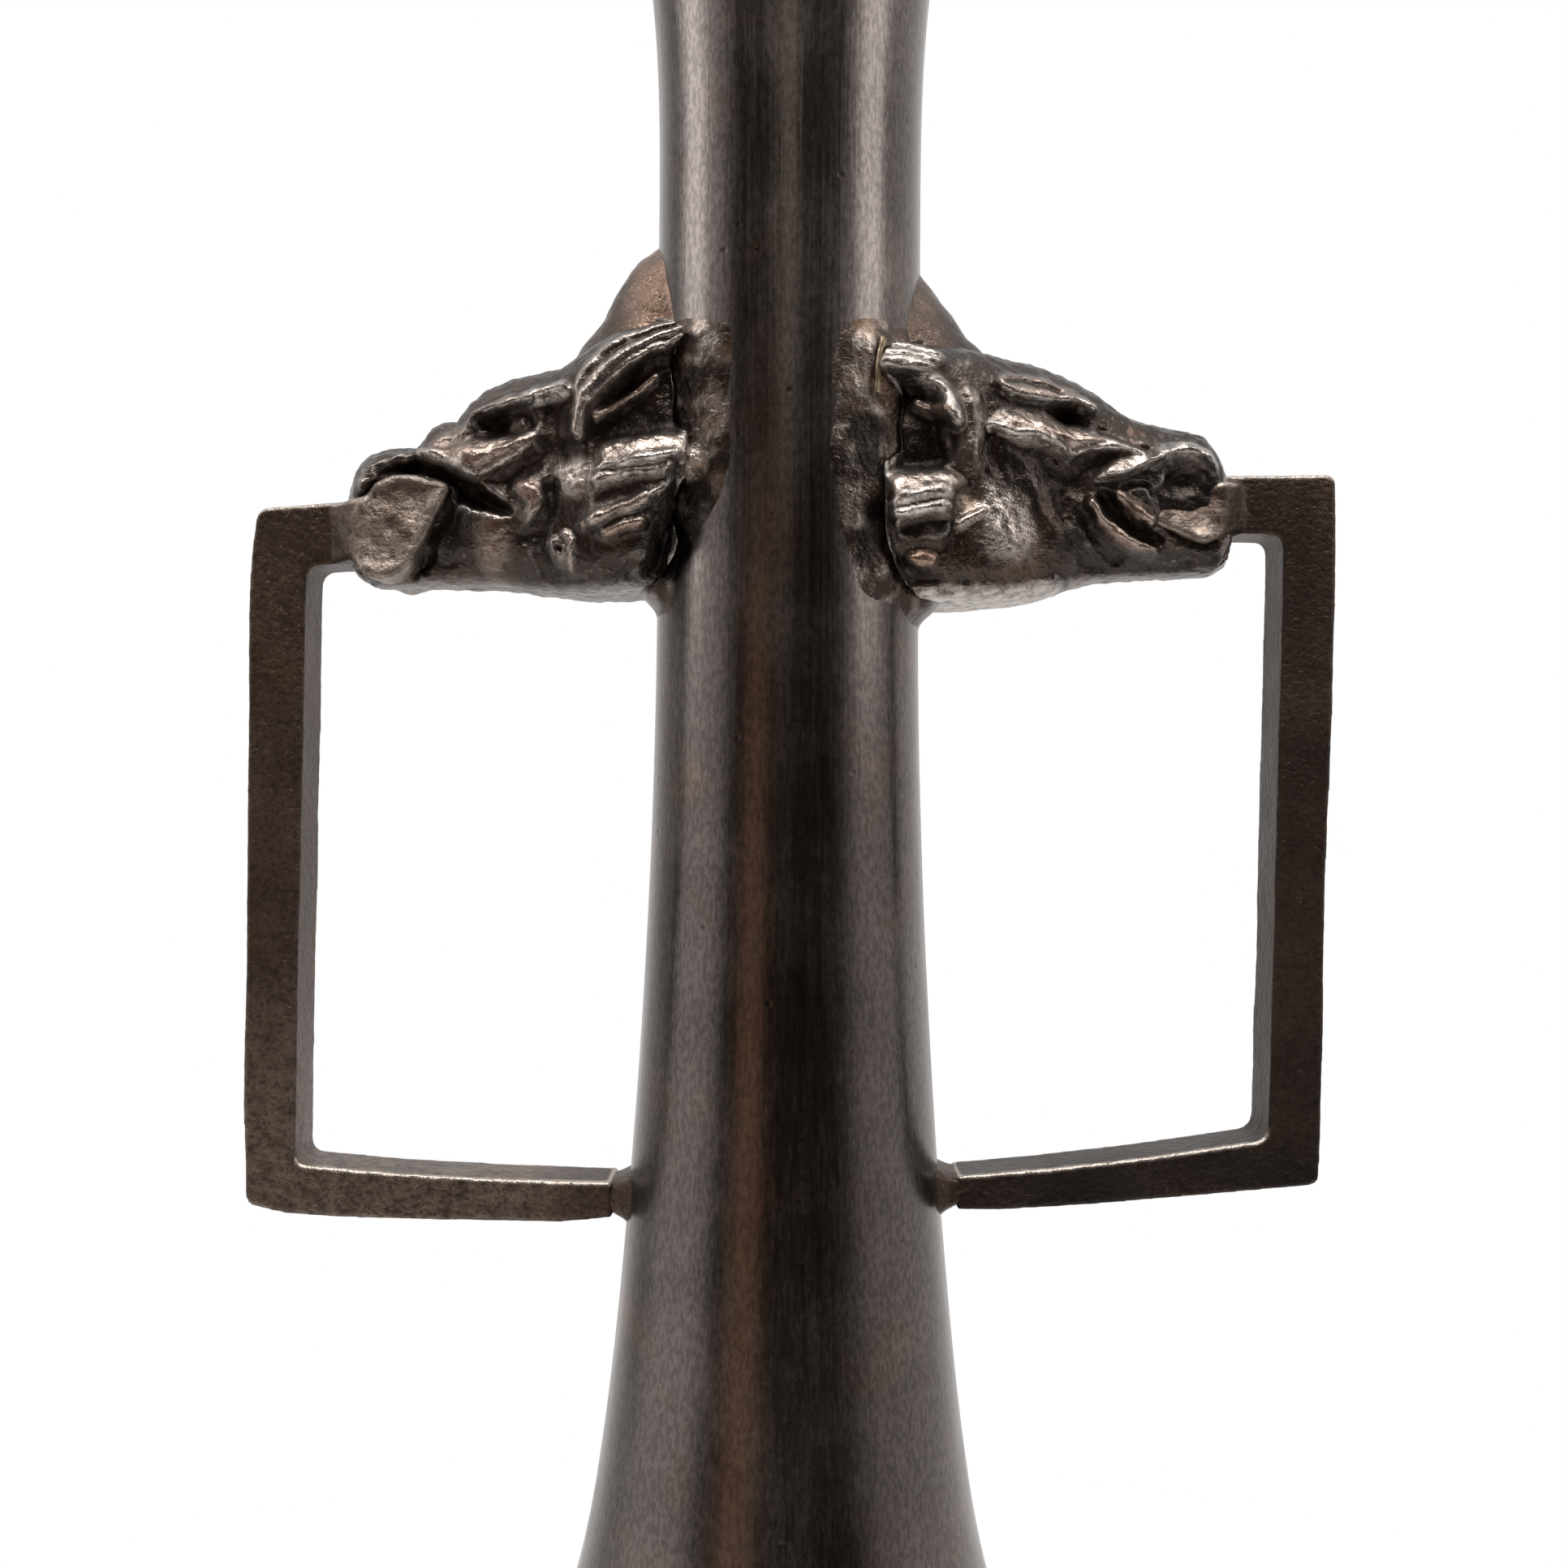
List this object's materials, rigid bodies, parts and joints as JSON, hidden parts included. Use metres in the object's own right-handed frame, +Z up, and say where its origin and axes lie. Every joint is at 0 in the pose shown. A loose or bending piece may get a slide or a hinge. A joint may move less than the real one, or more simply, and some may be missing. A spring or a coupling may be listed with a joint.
{
  "type": "bronze flower vase",
  "caption": "Long-necked bronze flower vase with a pear-shaped body, a spreading foot, and squared bar handles held in the mouths of beast heads on the neck.",
  "frame": {"origin": "middle of the foot's underside, on the axis of the vase", "axes": "+Z up the axis to the mouth, +X towards the right-hand handle as pictured, +Y away from the viewer"},
  "size_m": [0.1076, 0.0918, 0.29],
  "materials": {
    "smooth_bronze": "cast bronze under a dark brown patina, polished along its length to a satin sheen",
    "rubbed_bronze": "chased cast bronze, dark brown patina rubbed paler on the high points",
    "dull_bronze": "cast bronze under a dull, finely pitted dark patina",
    "filler_metal": "hard solder, filed and stained brown"
  },
  "bodies": {
    "root": {"neck": "smooth_bronze", "body": "smooth_bronze", "foot_ring": "smooth_bronze", "base_plate": "dull_bronze", "neck_joint_solder": "filler_metal", "foot_joint_solder": "filler_metal", "base_plate_solder": "filler_metal", "left_saddle": "rubbed_bronze", "left_head": "rubbed_bronze", "left_dowel": "dull_bronze", "left_handle": "dull_bronze", "left_handle_solder": "filler_metal", "right_saddle": "rubbed_bronze", "right_head": "rubbed_bronze", "right_dowel": "dull_bronze", "right_handle": "dull_bronze", "right_handle_solder": "filler_metal"}
  },
  "joints": []
}
